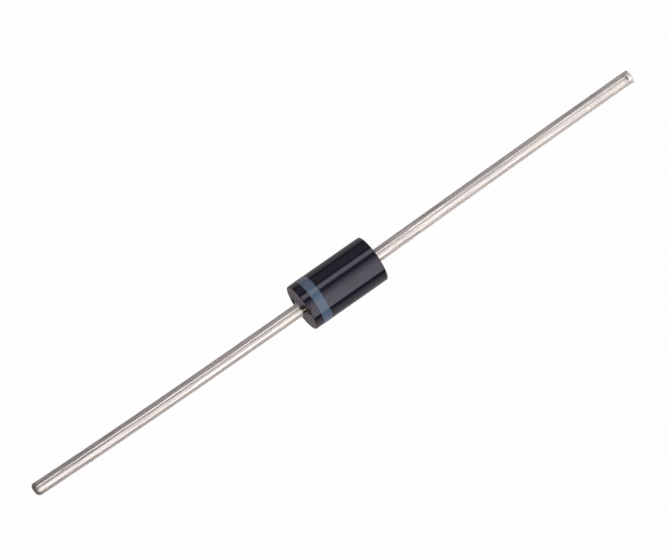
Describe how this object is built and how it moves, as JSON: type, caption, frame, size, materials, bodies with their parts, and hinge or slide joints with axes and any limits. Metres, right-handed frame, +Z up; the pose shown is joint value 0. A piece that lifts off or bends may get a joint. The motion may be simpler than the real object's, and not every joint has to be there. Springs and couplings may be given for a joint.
{
  "type": "zener diode",
  "caption": "Axial zener diode: a black moulded cylinder with a blue-grey cathode band and a straight tinned wire lead out of each end.",
  "frame": {"origin": "middle of the moulded case, on the diode's axis", "axes": "+X along the diode's axis, from the banded cathode end to the anode end; +Z up"},
  "size_m": [0.0392, 0.0028, 0.0028],
  "materials": {
    "epoxy": "glossy as moulded",
    "tinned_copper": "satin tin plate over drawn wire",
    "silicon": "sawn and etched",
    "solder": "dull as cooled",
    "silicone": "smooth as cured",
    "band_ink": "printed, satin"
  },
  "bodies": {
    "root": {"moulded_case": "epoxy", "cathode_lead": "tinned_copper", "anode_lead": "tinned_copper", "zener_die": "silicon", "cathode_solder": "solder", "anode_solder": "solder", "junction_coating": "silicone", "cathode_band": "band_ink"}
  },
  "joints": []
}
